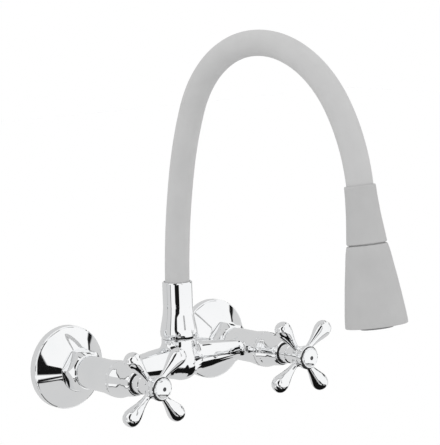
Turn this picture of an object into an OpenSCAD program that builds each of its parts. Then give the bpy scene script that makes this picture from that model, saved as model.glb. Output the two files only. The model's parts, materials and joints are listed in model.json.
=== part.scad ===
// Wall-mounted kitchen mixer tap with two cross handles and a flexible swivel spout.
// Origin: on the wall plane, midway between the two wall threads. X runs along the wall,
// -Y points out into the room and Z is up. All lengths are in millimetres.

/* [Wall connection] */
// Distance between the two wall threads, and between the two valves
inlet_spacing = 150; // [140:1:160]
// Outside diameter of the male thread that goes into the wall
wall_thread_d = 20.95; // [18:0.05:23]
// Length of the male thread behind the wall plane
wall_thread_len = 14; // [8:1:25]
// Diameter of the plain neck in front of the male thread
wall_neck_d = 19.6; // [17:0.1:20.4]
// How far the valve axes lie above the wall threads
union_offset = 6; // [0:0.5:8]
// Outside diameter of the union thread under the nut
union_thread_d = 26.4; // [25:0.1:28]
// Water bore through the wall connector and the inlet nipple
inlet_bore_d = 12; // [8:0.5:13]
// Outside diameter of the escutcheon
escutcheon_d = 66.3; // [56:0.1:80]
// Depth of the escutcheon, from the wall to its front edge
escutcheon_depth = 20; // [15:0.5:28]
// Depth of the escutcheon's flat rim band
escutcheon_rim = 6; // [2:0.1:7]
// Diameter of the escutcheon's front edge, behind the nut
escutcheon_mouth_d = 35.6; // [31:0.1:42]
// How full the escutcheon's front is, from 0.5 for a plain cone to 1 for a square shoulder
escutcheon_fullness = 0.54; // [0.5:0.01:0.9]
// Wall of the escutcheon shell
escutcheon_wall = 1.2; // [0.8:0.1:1.8]
// Width of the union nut across its flats
nut_af = 30; // [29.6:0.1:34]
// Length of the nut's front chamfer at its corners
nut_chamfer = 5; // [2:0.1:7]
// Turn of the left nut from a corner that points along the wall
left_nut_turn = -7.5; // [-30:0.5:30]
// Turn of the right nut from a corner that points along the wall
right_nut_turn = -17; // [-30:0.5:30]
// How far the union thread reaches into the nut
thread_reach = 5.6; // [4:0.1:10]
// Thickness of the inlet washer
washer_t = 2; // [1:0.1:3]
// Thickness of the inlet nipple's flange
nipple_flange_t = 2.2; // [1.5:0.1:3]
// Diameter of the inlet nipple's neck
nipple_d = 19; // [17:0.1:20]
// Length of the nipple's thread inside the body
nipple_grip = 8.5; // [6:0.5:9]
// Thickness of the nut's front lip
nut_lip = 3.4; // [2:0.1:5]

/* [Body] */
// Diameter of the round tail between nut and valve
tail_d = 26.1; // [25.6:0.1:27.4]
// Length of the tail, from its back face to the flare
tail_len = 26; // [24:0.5:32]
// Length of the flare in front of the tail
flare_len = 10; // [6:0.5:14]
// Diameter at the front of the flare
valve_d = 28.8; // [28.4:0.1:31]
// Length of the plain land in front of the flare
valve_land = 3; // [2:0.5:5]
// Distance of the cross arms from the back face of the tail
arm_setback = 19.2; // [17:0.1:20]
// Diameter of a cross arm where it meets the valve tail
arm_end_d = 14.6; // [13:0.2:18]
// Diameter of a cross arm at the middle of the body
arm_mid_d = 27.6; // [22:0.2:27.8]
// Water bore through the cross arms
arm_bore_d = 9; // [6:0.5:10]
// Diameter of the upright boss under the spout
boss_d = 28.4; // [28:0.2:32]
// Height of the boss above the valve axes
boss_h = 18.5; // [16:0.5:24]
// Height of the threaded spigot on top of the boss
spigot_h = 8; // [6:0.5:10]
// Diameter of the threaded spigot on top of the boss
spigot_d = 24.2; // [23:0.1:25]

/* [Valves] */
// Depth of the valve chamber behind the mouth of the valve
chamber_len = 26; // [25.6:0.1:27]
// Diameter of the valve chamber
chamber_d = 19.6; // [19:0.1:20]
// Thread diameter of the headwork
headwork_thread_d = 21; // [20.6:0.1:22]
// Length of the headwork thread
headwork_thread_len = 12; // [9:0.5:12.5]
// Diameter of the headwork's rear barrel
barrel_d = 18.6; // [18:0.1:18.8]
// Diameter of the two ceramic discs
disc_d = 14.8; // [13:0.1:15]
// Thickness of each ceramic disc
disc_t = 3; // [2.5:0.1:3.2]
// Thickness of the rubber seat seal
seat_seal_t = 2.1; // [1.8:0.1:2.4]
// Diameter of the valve spindle
spindle_d = 7.8; // [7:0.1:8.4]
// Width of the square drive at the front of the spindle
drive_w = 5.2; // [4.6:0.1:5.4]
// Length of the square drive
drive_len = 13; // [10:0.5:14]
// Length of the bell-shaped bonnet in front of the body
bonnet_len = 22; // [20:0.5:28]
// Front diameter of the bonnet
bonnet_front_d = 19.6; // [18:0.1:22]
// Wall of the bonnet
bonnet_wall = 1.3; // [1:0.1:1.6]

/* [Handles] */
// Length of the handle's hub, from the bonnet gap to its front face
hub_len = 28.7; // [27:0.1:32]
// Diameter of the hub's round skirt
skirt_d = 15; // [13:0.1:17]
// Length of the hub's skirt
skirt_len = 7.6; // [5:0.1:9]
// Diameter of the hub's front disc
hub_front_d = 18; // [17:0.1:21]
// Distance of the arms' axes behind the hub's front face
arm_back = 9; // [8:0.1:11]
// Reach of an arm from the handle's axis to the tip of its bulb
handle_reach = 37; // [30:0.2:46]
// Diameter of the bulb at the end of an arm
bulb_d = 13.8; // [10:0.2:16]
// Diameter of the arm's neck at the hub
neck_d = 5.4; // [4:0.1:7]
// Angle of the left handle away from a true diagonal cross
left_rest_angle = -4.3; // [-45:0.1:45]
// Angle of the right handle away from a true diagonal cross
right_rest_angle = -6.6; // [-45:0.1:45]
// Diameter of the index cap
cap_d = 17.7; // [16:0.1:18]
// Height of the index cap's dome
cap_dome = 1.6; // [0.8:0.1:3]
// Diameter of the index cap's plug inside the hub
plug_d = 13.8; // [12:0.1:14.4]
// Diameter of the handle screw
screw_d = 3.9; // [3:0.1:4.4]

/* [Spout] */
// Height of the spout sleeve above the valve axes
sleeve_top = 64.2; // [56:0.2:80]
// Diameter of the straight part of the sleeve
sleeve_d = 23.9; // [23:0.1:26]
// Diameter of the sleeve's bell
bell_d = 29.9; // [29.4:0.1:34]
// Height of the bell's flare above its lower edge
bell_h = 23; // [16:0.5:28]
// Diameter of the swivel tail's spigot in the body
spout_tail_d = 17.9; // [17:0.1:18.4]
// Depth of the swivel tail in the body
spout_tail_len = 20; // [17:0.5:22]
// Thickness of the swivel tail's flange
tail_flange_t = 2.7; // [2:0.1:4]
// Length of the barb that the hose is pushed over
barb_len = 7; // [5:0.5:10]
// Outside diameter of the silicone hose
hose_d = 19.5; // [18.6:0.1:19.8]
// Wall of the silicone hose
hose_wall = 2.5; // [2:0.1:3]
// Wall of the flexible steel liner
liner_wall = 1.7; // [1:0.1:1.8]
// Wall of the water hose inside the liner
water_wall = 1.4; // [1:0.1:1.6]
// Length of hose that is pushed into the spray head
hose_grip = 14; // [10:0.5:18]

/* [Hose route] */
// Radius of the first arc, which leans forward above the sleeve
lean_r = 491; // [350:1:700]
// Turn of the first arc, in degrees
lean_turn = 11.9; // [9:0.1:14]
// Radius of the second arc, which tightens towards the shoulder
rise_r = 268; // [200:1:340]
// Turn of the second arc, in degrees
rise_turn = 11; // [8:0.1:14]
// Radius of the shoulder behind the crown
shoulder_r = 86; // [70:0.5:110]
// Turn of the shoulder, in degrees
shoulder_turn = 42.1; // [36:0.1:46]
// Radius of the crown's rear half
crown_rear_r = 86; // [70:0.5:110]
// Turn of the crown's rear half, in degrees
crown_rear_turn = 16.4; // [12:0.1:20]
// Radius of the crown's front half
crown_front_r = 97.5; // [80:0.5:120]
// Turn of the crown's front half, in degrees
crown_front_turn = 33.6; // [30:0.1:38]
// Radius of the arc in front of the crown
fall_r = 97.5; // [80:0.5:120]
// Turn of the arc in front of the crown, in degrees
fall_turn = 33; // [28:0.1:36]
// Radius of the last arc, down to the spray head
drop_r = 133; // [100:1:180]
// Turn of the last arc, in degrees
drop_turn = 24; // [20:0.1:28]

/* [Spray head] */
// Length of the head's upper collar
collar_len = 41.7; // [34:0.1:50]
// Diameter at the top of the collar
collar_top_d = 22.7; // [22.4:0.1:26]
// Diameter at the bottom of the collar
collar_end_d = 28.7; // [26:0.1:32]
// Gap between the collar and the turning shell
shell_gap = 0.7; // [0.4:0.1:1.2]
// Length of the turning shell
shell_len = 58.2; // [50:0.2:70]
// Diameter at the top of the shell
shell_top_d = 29.9; // [27:0.1:34]
// Largest diameter of the shell, near its lower edge
shell_d = 45; // [40:0.2:54]
// Wall of the shell
shell_wall = 2.2; // [1.6:0.1:2.8]
// Diameter of the core's stem
core_d = 18; // [17:0.1:18.4]
// Water bore through the core
core_bore_d = 8; // [6:0.5:9]
// Outside diameter of the aerator housing
aerator_d = 24.2; // [23:0.1:26]
// Length of the aerator housing
aerator_len = 12; // [9:0.5:15]
// How far the aerator stands out of the shell
aerator_drop = 1.9; // [1:0.1:4]

/* [Fits] */
// Radial clearance of a part that turns in another
running_gap = 0.05; // [0.02:0.01:0.09]
// Radial clearance of a part that stays put in another
seat_gap = 0.05; // [0.02:0.01:0.09]
// Axial gap between faces that pass each other
face_gap = 0.3; // [0.2:0.05:0.5]

/* [Hidden] */
$fn = 96;
// A hair's breadth, and how far a cut runs past the face that it opens
eps = 0.01;
over = 1;

chrome = [0.86, 0.87, 0.88];
brass = [0.80, 0.66, 0.36];
steel = [0.66, 0.67, 0.69];
rubber = [0.12, 0.12, 0.13];
ceramic = [0.93, 0.93, 0.90];
silicone = [0.72, 0.72, 0.72];
nylon = [0.35, 0.35, 0.36];

// Stations along a valve, as distances from the wall plane
nut_back = escutcheon_depth + face_gap;
connector_front = nut_back + thread_reach;
washer_front = connector_front + washer_t;
nipple_flange_front = washer_front + nipple_flange_t;
nut_front = nipple_flange_front + seat_gap + nut_lip;
tail_back = nut_front + face_gap;
flare_back = tail_back + tail_len;
flare_front = flare_back + flare_len;
body_front = flare_front + valve_land;
spout_y = tail_back + arm_setback;
seat_face = body_front - chamber_len;
seal_front = seat_face + seat_seal_t;
fixed_disc_front = seal_front + disc_t;
turning_disc_back = fixed_disc_front + running_gap;
turning_disc_front = turning_disc_back + disc_t;
pocket_front = turning_disc_front + 4.6;
barrel_back = seat_face + seat_gap + 0.6;
headwork_flange_t = 3.5;
headwork_hex_t = 5.4;
bonnet_back = body_front + seat_gap;
bonnet_front = bonnet_back + bonnet_len;
bonnet_face_t = 0.8;
clip_t = 1;
neck_front = bonnet_front - bonnet_face_t - clip_t - 4 * running_gap;
hub_back = bonnet_front + face_gap;
hub_front = hub_back + hub_len;
drive_back = bonnet_front;
drive_front = drive_back + drive_len;
plug_depth = 4.4;
screw_grip = 7.5;
screw_head_t = 2;
screw_head_d = 1.8 * screw_d;

// Heights on the swivel axis, above the valve axes
spigot_top = boss_h + spigot_h;
tail_flange_back = spigot_top + face_gap;
tail_flange_front = tail_flange_back + tail_flange_t;
sleeve_lip_back = tail_flange_front + face_gap;
sleeve_lip_t = 3;
neck_len = 9.8;
hose_start = sleeve_lip_back + sleeve_lip_t + neck_len;
barb_top = hose_start + barb_len;
hose_bore_d = hose_d - 2 * hose_wall;
liner_d = hose_bore_d - 2 * seat_gap;
liner_bore_d = liner_d - 2 * liner_wall;
water_d = liner_bore_d - 2 * seat_gap;
water_bore_d = water_d - 2 * water_wall;
water_hose_start = barb_top - 10;

// Route of the hose in the upright plane of the spout: a straight rise, then arcs that
// each turn forward by some degrees, with a short straight link after each of them. A link
// laps over the arcs at both its ends and stands a hair proud of them.
route_rise = barb_top + 1.2;
route_link = 0.6;
link_lap = 0.4;
link_swell = 0.1;
route_arcs = [
    [lean_r, lean_turn],
    [rise_r, rise_turn],
    [shoulder_r, shoulder_turn],
    [crown_rear_r, crown_rear_turn],
    [crown_front_r, crown_front_turn],
    [fall_r, fall_turn],
    [drop_r, drop_turn]
];
crown_first = 3;
crown_last = 4;
head_heading = 90 - turned(len(route_arcs));

function turned(count) = count == 0 ? 0 : turned(count - 1) + route_arcs[count - 1][1];
function heading(index) = 90 - turned(index);
function along(angle) = [cos(angle), sin(angle)];
function arc_centre(index) =
    route_point(index) + route_arcs[index][0] * along(heading(index) - 90);
function arc_end(index) =
    arc_centre(index) + route_arcs[index][0] * along(heading(index + 1) + 90);
function route_point(index) = index == 0
    ? [spout_y, union_offset + route_rise]
    : arc_end(index - 1) + route_link * along(heading(index));
function smooth(t) = t * t * (3 - 2 * t);

// Stations along the spray head, as distances from the top of the collar
core_top = hose_grip + 1.3;
shell_top = collar_len + shell_gap;
shell_end = shell_top + shell_len;
plate_t = 2.4;
aerator_end = shell_end + aerator_drop;
aerator_top = aerator_end - aerator_len;
core_flange_t = 4;
aerator_seal_t = 1.6;
core_end = aerator_top - aerator_seal_t;
bearing_len = 8;

// Places a shape on a valve axis, with its own Z axis pointing out from the wall
module on_valve(side) {
    translate([side * inlet_spacing / 2, 0, union_offset])
        rotate([90, 0, 0])
            children();
}

// Turns a shape from its own XY plane into the upright plane of the spout
module in_spout_plane() {
    rotate([90, 0, -90])
        children();
}

// Places a shape on the swivel axis at the height of the valve axes
module on_swivel() {
    translate([0, -spout_y, union_offset])
        children();
}

// Places a shape at a point of the spout's plane, first by whole millimetres and then by
// the rest, so that no digit of its place is lost
module at_point(point) {
    whole = [round(point[0]), round(point[1]), 0];
    translate(whole)
        translate([point[0] - whole[0], point[1] - whole[1], 0])
            children();
}

// Places a shape on the spray head, with its own Z axis pointing down the head
module on_head() {
    in_spout_plane()
        at_point(route_point(len(route_arcs)))
            rotate([0, 0, head_heading])
                rotate([0, 90, 0])
                    children();
}

// A round bar between two stations
module bar(d, from, to) {
    translate([0, 0, from])
        cylinder(d = d, h = to - from);
}

// A ring or tube between two stations
module tube(outer_d, inner_d, from, to) {
    difference() {
        bar(outer_d, from, to);
        bar(inner_d, from - over, to + over);
    }
}

// A solid of revolution from a list of [radius, station] points
module turned_solid(points) {
    rotate_extrude()
        polygon(concat([[0, points[0][1]]], points, [[0, points[len(points) - 1][1]]]));
}

// Two opposite pie windows, each of the given angle
module port_pair(inner_r, outer_r, angle, height) {
    for (turn = [0, 180])
        rotate([0, 0, turn - angle / 2])
            rotate_extrude(angle = angle)
                translate([inner_r, 0])
                    square([outer_r - inner_r, height]);
}

// Connector

module wall_connector() {
    overlap = 1.5;
    step = 5;
    color(brass)
        difference() {
            union() {
                translate([0, -union_offset, 0]) {
                    bar(wall_thread_d, -wall_thread_len, 0);
                    bar(wall_neck_d, -overlap, step + overlap);
                }
                bar(union_thread_d, step, connector_front);
            }
            translate([0, -union_offset, 0])
                bar(inlet_bore_d, -wall_thread_len - over, step + overlap);
            bar(inlet_bore_d, step, connector_front + over);
        }
}

// Escutcheon: a flat rim band and a shallow dome with a mouth that fits the union thread

function dome(rim_r, neck_r, back, front, steps) = [
    for (i = [0 : steps])
        let (
            t = i / steps,
            shoulder = [
                neck_r + escutcheon_fullness * (rim_r - neck_r),
                back + escutcheon_fullness * (front - back)
            ])
        (1 - t) * (1 - t) * [rim_r, back] + 2 * t * (1 - t) * shoulder + t * t * [neck_r, front]
];

module escutcheon() {
    rim_r = escutcheon_d / 2;
    edge = 0.5;
    step = 1;
    neck_r = union_thread_d / 2 + seat_gap;
    mouth_r = escutcheon_mouth_d / 2;
    outer = concat(
        [[rim_r, 0], [rim_r, escutcheon_rim - edge], [rim_r - edge, escutcheon_rim]],
        dome(rim_r - step, mouth_r, escutcheon_rim + edge, escutcheon_depth - edge, 12),
        [[mouth_r - edge, escutcheon_depth]]);
    inner = concat(
        [[rim_r - step - escutcheon_wall, -over]],
        dome(rim_r - step - escutcheon_wall, mouth_r - escutcheon_wall, escutcheon_rim - edge,
            escutcheon_depth - escutcheon_wall, 12));
    color(chrome)
        difference() {
            turned_solid(outer);
            turned_solid(inner);
            bar(2 * neck_r, 0, escutcheon_depth + over);
        }
}

// Union nut: a hexagon with a chamfered front, threaded at the back

module union_nut(turn) {
    corner_d = nut_af / cos(30);
    nut_len = nut_front - nut_back;
    color(chrome)
        difference() {
            intersection() {
                translate([0, 0, nut_back])
                    rotate([0, 0, turn])
                        cylinder(d = corner_d, h = nut_len, $fn = 6);
                turned_solid([
                    [corner_d / 2 - 0.8, nut_back - eps],
                    [corner_d / 2 + eps, nut_back + 1],
                    [corner_d / 2 + eps, nut_front - nut_chamfer],
                    [nut_af / 2 - 0.9, nut_front + eps]
                ]);
            }
            bar(union_thread_d + 2 * seat_gap, nut_back - over, nipple_flange_front + seat_gap);
            bar(nipple_d + 2 * seat_gap, nut_back, nut_front + over);
        }
}

module inlet_washer() {
    color(rubber)
        tube(union_thread_d - 1.4, inlet_bore_d, connector_front, washer_front);
}

module inlet_nipple() {
    color(brass)
        difference() {
            union() {
                bar(union_thread_d - 1.4, washer_front, nipple_flange_front);
                bar(nipple_d, washer_front + 1, tail_back + nipple_grip);
            }
            bar(inlet_bore_d, washer_front - over, tail_back + nipple_grip + over);
        }
}

// Body casting: two valve tails, tapering cross arms and an upright boss

module valve_shell() {
    edge = 0.8;
    steps = 8;
    flare = [
        for (i = [1 : steps])
            let (t = i / steps)
            [tail_d / 2 + (valve_d - tail_d) / 2 * smooth(t), flare_back + flare_len * t]
    ];
    turned_solid(concat(
        [[tail_d / 2 - edge, tail_back], [tail_d / 2, tail_back + edge], [tail_d / 2, flare_back]],
        flare,
        [[valve_d / 2, body_front]]));
}

module valve_bore() {
    passage_d = inlet_bore_d - 3;
    thread_back = body_front - headwork_thread_len - seat_gap;
    bar(nipple_d + 2 * seat_gap, tail_back - over, tail_back + nipple_grip + seat_gap);
    bar(passage_d, tail_back, body_front);
    bar(chamber_d, seat_face, body_front);
    bar(headwork_thread_d + 2 * seat_gap, thread_back, body_front + over);
}

module cross_arm(side) {
    reach = inlet_spacing / 2 - tail_d / 2 + 1;
    rotate([0, side * 90, 0])
        cylinder(d1 = arm_mid_d, d2 = arm_end_d, h = reach);
}

module boss() {
    bottom_r = boss_d / 2;
    steps = 8;
    drop = 0.5 * arm_mid_d + 0.3;
    turned_solid(concat(
        [for (i = [1 : steps])
            let (a = 90 * i / steps)
            [bottom_r * sin(a), -drop * cos(a)]],
        [[bottom_r, boss_h], [spigot_d / 2, boss_h], [spigot_d / 2, spigot_top]]));
}

module mixer_body() {
    color(chrome)
        difference() {
            union() {
                for (side = [-1, 1])
                    on_valve(side)
                        valve_shell();
                on_swivel() {
                    for (side = [-1, 1])
                        cross_arm(side);
                    boss();
                }
            }
            for (side = [-1, 1])
                on_valve(side)
                    valve_bore();
            on_swivel() {
                translate([-inlet_spacing / 2, 0, 0])
                    rotate([0, 90, 0])
                        cylinder(d = arm_bore_d, h = inlet_spacing);
                cylinder(d = arm_bore_d, h = spigot_top);
                bar(spout_tail_d + 2 * running_gap, spigot_top - spout_tail_len - face_gap,
                    spigot_top + over);
            }
        }
}

// Headwork: barrel with the ceramic discs, thread, flange, hexagon and neck

module headwork() {
    hex_af = 17;
    neck_w = 13;
    window_w = 7;
    flange_margin = 1.8;
    flange_front = bonnet_back + headwork_flange_t;
    hex_front = flange_front + headwork_hex_t;
    color(brass)
        difference() {
            union() {
                bar(barrel_d, barrel_back, body_front - headwork_thread_len);
                bar(headwork_thread_d, body_front - headwork_thread_len, bonnet_back);
                bar(valve_d - 2 * bonnet_wall - flange_margin, bonnet_back, flange_front);
                translate([0, 0, flange_front])
                    cylinder(d = hex_af / cos(30), h = headwork_hex_t, $fn = 6);
                bar(neck_w, hex_front, neck_front);
            }
            bar(disc_d + 4 * seat_gap, barrel_back - over, pocket_front);
            bar(spindle_d + 2 * running_gap, barrel_back, neck_front + over);
            translate([-barrel_d, -window_w / 2, turning_disc_front])
                cube([2 * barrel_d, window_w, pocket_front - turning_disc_front - 0.6]);
        }
}

module seat_seal() {
    color(rubber)
        tube(disc_d, disc_d - 5, seat_face, seal_front);
}

module fixed_disc() {
    color(ceramic)
        translate([0, 0, seal_front])
            difference() {
                cylinder(d = disc_d, h = disc_t);
                translate([0, 0, -1])
                    port_pair(1.6, disc_d / 2 - 1.4, 80, disc_t + 2);
            }
}

module turning_disc() {
    slot_w = 2.4;
    color(ceramic)
        translate([0, 0, turning_disc_back])
            difference() {
                cylinder(d = disc_d, h = disc_t);
                translate([0, 0, -1])
                    rotate([0, 0, 90])
                        port_pair(1.6, disc_d / 2 - 1.4, 80, disc_t + 2);
                translate([-disc_d / 2 - 1, -slot_w / 2, disc_t - 1])
                    cube([disc_d + 2, slot_w, 2]);
            }
}

// Spindle: a tongue in the turning disc, a flange, the stem and a square drive

module spindle() {
    tongue_w = 2.2;
    tongue_l = 0.75 * disc_d;
    flange_d = spindle_d + 3;
    flange_back = pocket_front - 2.4;
    groove_back = neck_front + running_gap;
    color(steel)
        difference() {
            union() {
                translate([-tongue_l / 2, -tongue_w / 2, turning_disc_front - 0.9])
                    cube([tongue_l, tongue_w, flange_back - turning_disc_front + 1.4]);
                bar(flange_d, flange_back, pocket_front - face_gap);
                bar(spindle_d, flange_back + 1, drive_back);
                translate([0, 0, drive_back - 1])
                    translate([-drive_w / 2, -drive_w / 2, 0])
                        cube([drive_w, drive_w, drive_len + 1]);
            }
            tube(spindle_d + 2, clip_bore_d(), groove_back, groove_back + clip_t + 2 * running_gap);
            tube(spindle_d + 2, ring_bore_d(), ring_back(), ring_back() + ring_w() + 0.2);
            bar(screw_d + 2 * seat_gap, drive_front - screw_grip - 0.5, drive_front + over);
        }
}

function clip_bore_d() = spindle_d - 1.6;
function ring_w() = 1.2;
function ring_bore_d() = spindle_d - 2 * ring_w() + 2 * running_gap;
function ring_back() = body_front - 5;

// A rubber ring of round section that fills a groove
module o_ring(outer_d, section, at) {
    color(rubber)
        translate([0, 0, at])
            rotate_extrude()
                translate([outer_d / 2 - section / 2, 0])
                    circle(d = section, $fn = 32);
}

module spindle_o_ring() {
    section = (spindle_d + running_gap - ring_bore_d()) / 2 - 0.01;
    o_ring(spindle_d + running_gap - 0.01, section, ring_back() + ring_w() / 2 + 0.1);
}

module spindle_clip() {
    slot_w = 4.5;
    clip_back = neck_front + 2 * running_gap;
    color(steel)
        difference() {
            tube(spindle_d + 2.2, clip_bore_d() + 0.1, clip_back, clip_back + clip_t);
            translate([0, -slot_w / 2, clip_back - 1])
                cube([spindle_d + 3, slot_w, clip_t + 2]);
        }
}

// Bonnet: the bell-shaped cover between the body and the handle

function bonnet_outer(inset) = let (front_r = bonnet_front_d / 2, back_r = valve_d / 2) concat(
    [[back_r - 0.1 - inset, bonnet_back], [back_r - 0.2 - inset, bonnet_back + 0.1 * bonnet_len]],
    [for (i = [1 : 8])
        let (t = i / 8)
        [front_r + 0.1 + (back_r - front_r - 0.3) * pow(1 - t, 1.75) - inset,
            bonnet_back + bonnet_len * (0.1 + 0.86 * t)]],
    [[front_r - 0.7 - inset, bonnet_front]]);

module bonnet() {
    color(chrome)
        difference() {
            turned_solid(bonnet_outer(0));
            intersection() {
                turned_solid(concat([[valve_d, bonnet_back - over]], bonnet_outer(bonnet_wall)));
                bar(valve_d - 2 * bonnet_wall, bonnet_back - over, bonnet_front - bonnet_face_t);
            }
            bar(spindle_d + 1, bonnet_back, bonnet_front + over);
        }
}

// Handle: a waisted hub with four teardrop arms

function teardrop(reach, steps) = let (bulb_r = bulb_d / 2, neck_r = neck_d / 2, rise = reach - bulb_r)
    concat(
        [for (i = [0 : steps])
            let (t = i / steps)
            [neck_r + (bulb_r - neck_r) * smooth(t), 0.3 * rise + 0.7 * rise * t]],
        [for (i = [1 : steps - 1])
            let (a = 90 * i / steps)
            [bulb_r * cos(a), rise + bulb_r * sin(a)]]);

module handle_arm() {
    turned_solid(concat([[neck_d / 2, 0]], teardrop(handle_reach, 8)));
}

module hub_outline() {
    waist_r = skirt_d / 2 - 0.7;
    front_r = hub_front_d / 2;
    skirt_front = hub_back + skirt_len;
    belly_front = hub_front - 5.6;
    turned_solid(concat(
        [[skirt_d / 2 - 0.5, hub_back], [skirt_d / 2, hub_back + 0.5], [skirt_d / 2, skirt_front]],
        [for (i = [0 : 6])
            let (t = i / 6)
            [waist_r + (front_r - waist_r) * smooth(t),
                skirt_front + 0.7 + (belly_front - skirt_front - 0.7) * t]],
        [[front_r - 0.9, belly_front + 0.5], [front_r - 0.9, belly_front + 1],
            [front_r, belly_front + 1.5], [front_r, hub_front - 0.4], [front_r - 0.4, hub_front]]));
}

module handle(rest_angle) {
    arm_station = hub_front - arm_back;
    socket_w = drive_w + 2 * seat_gap;
    color(chrome)
        difference() {
            union() {
                hub_outline();
                for (turn = [45 : 90 : 315])
                    rotate([0, 0, turn + rest_angle])
                        translate([0, 0, arm_station])
                            rotate([0, 90, 0])
                                handle_arm();
            }
            translate([-socket_w / 2, -socket_w / 2, hub_back - over])
                cube([socket_w, socket_w, drive_front - hub_back + over + 0.4]);
            bar(spindle_d + 0.6, hub_back - over, drive_back + over);
            bar(screw_d + 0.4, hub_back, hub_front);
            bar(plug_d + 2 * seat_gap, hub_front - plug_depth, hub_front + over);
        }
}

module handle_screw() {
    head_back = hub_front - plug_depth;
    recess_w = 2.5;
    color(steel)
        difference() {
            union() {
                bar(screw_d, drive_front - screw_grip, head_back + 0.5);
                bar(screw_head_d, head_back, head_back + screw_head_t);
            }
            translate([0, 0, head_back + 0.8])
                cylinder(d = recess_w / cos(30), h = screw_head_t, $fn = 6);
        }
}

// Index cap: a domed disc on a plug, with a plain round mark in a shallow recess

module index_cap() {
    face = hub_front + 0.05;
    edge_t = 1.5;
    steps = 8;
    rim = 0.35;
    mark_d = 3;
    dome_top = face + edge_t + cap_dome;
    color(chrome)
        difference() {
            union() {
                turned_solid(concat(
                    [[cap_d / 2 - rim, face], [cap_d / 2, face + rim], [cap_d / 2, face + edge_t - rim]],
                    [for (i = [0 : steps - 1])
                        let (a = 90 * i / steps)
                        [(cap_d / 2 - rim) * cos(a), face + edge_t + cap_dome * sin(a)]]));
                bar(plug_d, face - plug_depth + screw_head_t + 0.4, face + 0.5);
            }
            bar(plug_d - 3, face - plug_depth, face - 0.6);
            bar(mark_d, dome_top - 0.5, dome_top + over);
        }
}

// Spout sleeve: a straight tube with a bell that screws over the spigot

module spout_sleeve() {
    straight_r = sleeve_d / 2;
    bell_r = bell_d / 2;
    widest = boss_h + 4.5;
    flare_top = boss_h + bell_h;
    steps = 10;
    color(chrome)
        difference() {
            turned_solid(concat(
                [[bell_r - 1.3, boss_h + 0.1], [bell_r - 0.5, boss_h + 0.8],
                    [bell_r - 0.1, boss_h + 2.2], [bell_r, widest]],
                [for (i = [1 : steps])
                    let (t = i / steps)
                    [straight_r + (bell_r - straight_r) * pow(1 - t, 1.6),
                        widest + (flare_top - widest) * t]],
                [[straight_r, sleeve_top - 1.4], [straight_r - 0.2, sleeve_top - 0.6],
                    [straight_r - 0.65, sleeve_top]]));
            bar(spigot_d + 2 * seat_gap, boss_h - over, spigot_top + face_gap / 2);
            bar(tail_flange_d() + 2 * face_gap, boss_h, sleeve_lip_back);
            bar(tail_neck_d() + 2 * running_gap, boss_h, sleeve_top);
            bar(hose_d + 1.1, sleeve_lip_back + sleeve_lip_t, sleeve_top + over);
        }
}

function tail_flange_d() = spigot_d - 2.4;
function tail_neck_d() = hose_bore_d + 1.6;

// Swivel tail: the spigot that turns in the body and carries the hose on its barb

module spout_tail() {
    ring_section = 1.6;
    color(brass)
        difference() {
            union() {
                bar(spout_tail_d, spigot_top - spout_tail_len, tail_flange_back + 0.5);
                bar(tail_flange_d(), tail_flange_back, tail_flange_front);
                bar(tail_neck_d(), tail_flange_back, hose_start);
                bar(hose_bore_d - 2 * seat_gap, hose_start - 1, barb_top);
            }
            bar(arm_bore_d, spigot_top - spout_tail_len - over, water_hose_start - over);
            bar(water_d + 2 * seat_gap, water_hose_start - 4 * over, barb_top + over);
            for (at = spout_ring_stations())
                tube(spout_tail_d + 2, spout_tail_d - 2 * ring_section, at - 0.6 * ring_section,
                    at + 0.6 * ring_section);
        }
}

function spout_ring_stations() = [spigot_top - 0.65 * spout_tail_len, spigot_top - 0.35 * spout_tail_len];

module spout_o_rings() {
    ring_section = 1.6;
    for (at = spout_ring_stations())
        o_ring(spout_tail_d + running_gap, ring_section, at);
}

// A round bar along some arcs of the hose's route. The link after the last arc ends square.

module route_link_bar(d, lap_front) {
    rotate([0, 90, 0])
        bar(d + link_swell, -link_lap, route_link + lap_front);
}

module route_bar(d, first, last, lap_front) {
    in_spout_plane()
        for (i = [first : last]) {
            at_point(arc_centre(i))
                rotate_extrude(angle = route_arcs[i][1], start = heading(i + 1) + 90)
                    translate([route_arcs[i][0], 0])
                        circle(d = d);
            at_point(arc_end(i))
                rotate([0, 0, heading(i + 1)])
                    route_link_bar(d, i < last ? link_lap : lap_front);
        }
}

// The straight stretch in the sleeve, with its own link to the first arc
module rise_bar(d, start) {
    on_swivel()
        bar(d, start, route_rise - route_link);
    in_spout_plane()
        at_point(route_point(0) - route_link * along(90))
            rotate([0, 0, 90])
                route_link_bar(d, link_lap);
}

module end_bar(d, end_len) {
    on_head()
        bar(d, 0, end_len);
}

module whole_route_bar(d, start, end_len) {
    rise_bar(d, start);
    route_bar(d, 0, len(route_arcs) - 1, link_lap);
    end_bar(d, end_len);
}

// The silicone hose is one piece of tube. It is written as three runs, because its crown
// bends when the spray head is moved, and its two legs keep their shape.

module hose_rise() {
    color(silicone)
        difference() {
            union() {
                rise_bar(hose_d, hose_start + seat_gap);
                route_bar(hose_d, 0, crown_first - 1, 0);
            }
            rise_bar(hose_bore_d, hose_start - over);
            route_bar(hose_bore_d, 0, crown_first - 1, 0);
        }
}

module hose_crown() {
    color(silicone)
        difference() {
            route_bar(hose_d, crown_first, crown_last, 0);
            route_bar(hose_bore_d, crown_first, crown_last, 0);
        }
}

module hose_drop() {
    last = len(route_arcs) - 1;
    color(silicone)
        difference() {
            union() {
                route_bar(hose_d, crown_last + 1, last, link_lap);
                end_bar(hose_d, hose_grip);
            }
            route_bar(hose_bore_d, crown_last + 1, last, link_lap);
            end_bar(hose_bore_d, hose_grip + over);
        }
}

module gooseneck_liner() {
    color(steel)
        difference() {
            whole_route_bar(liner_d, barb_top + seat_gap, hose_grip);
            whole_route_bar(liner_bore_d, barb_top - over, hose_grip + over);
        }
}

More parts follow.
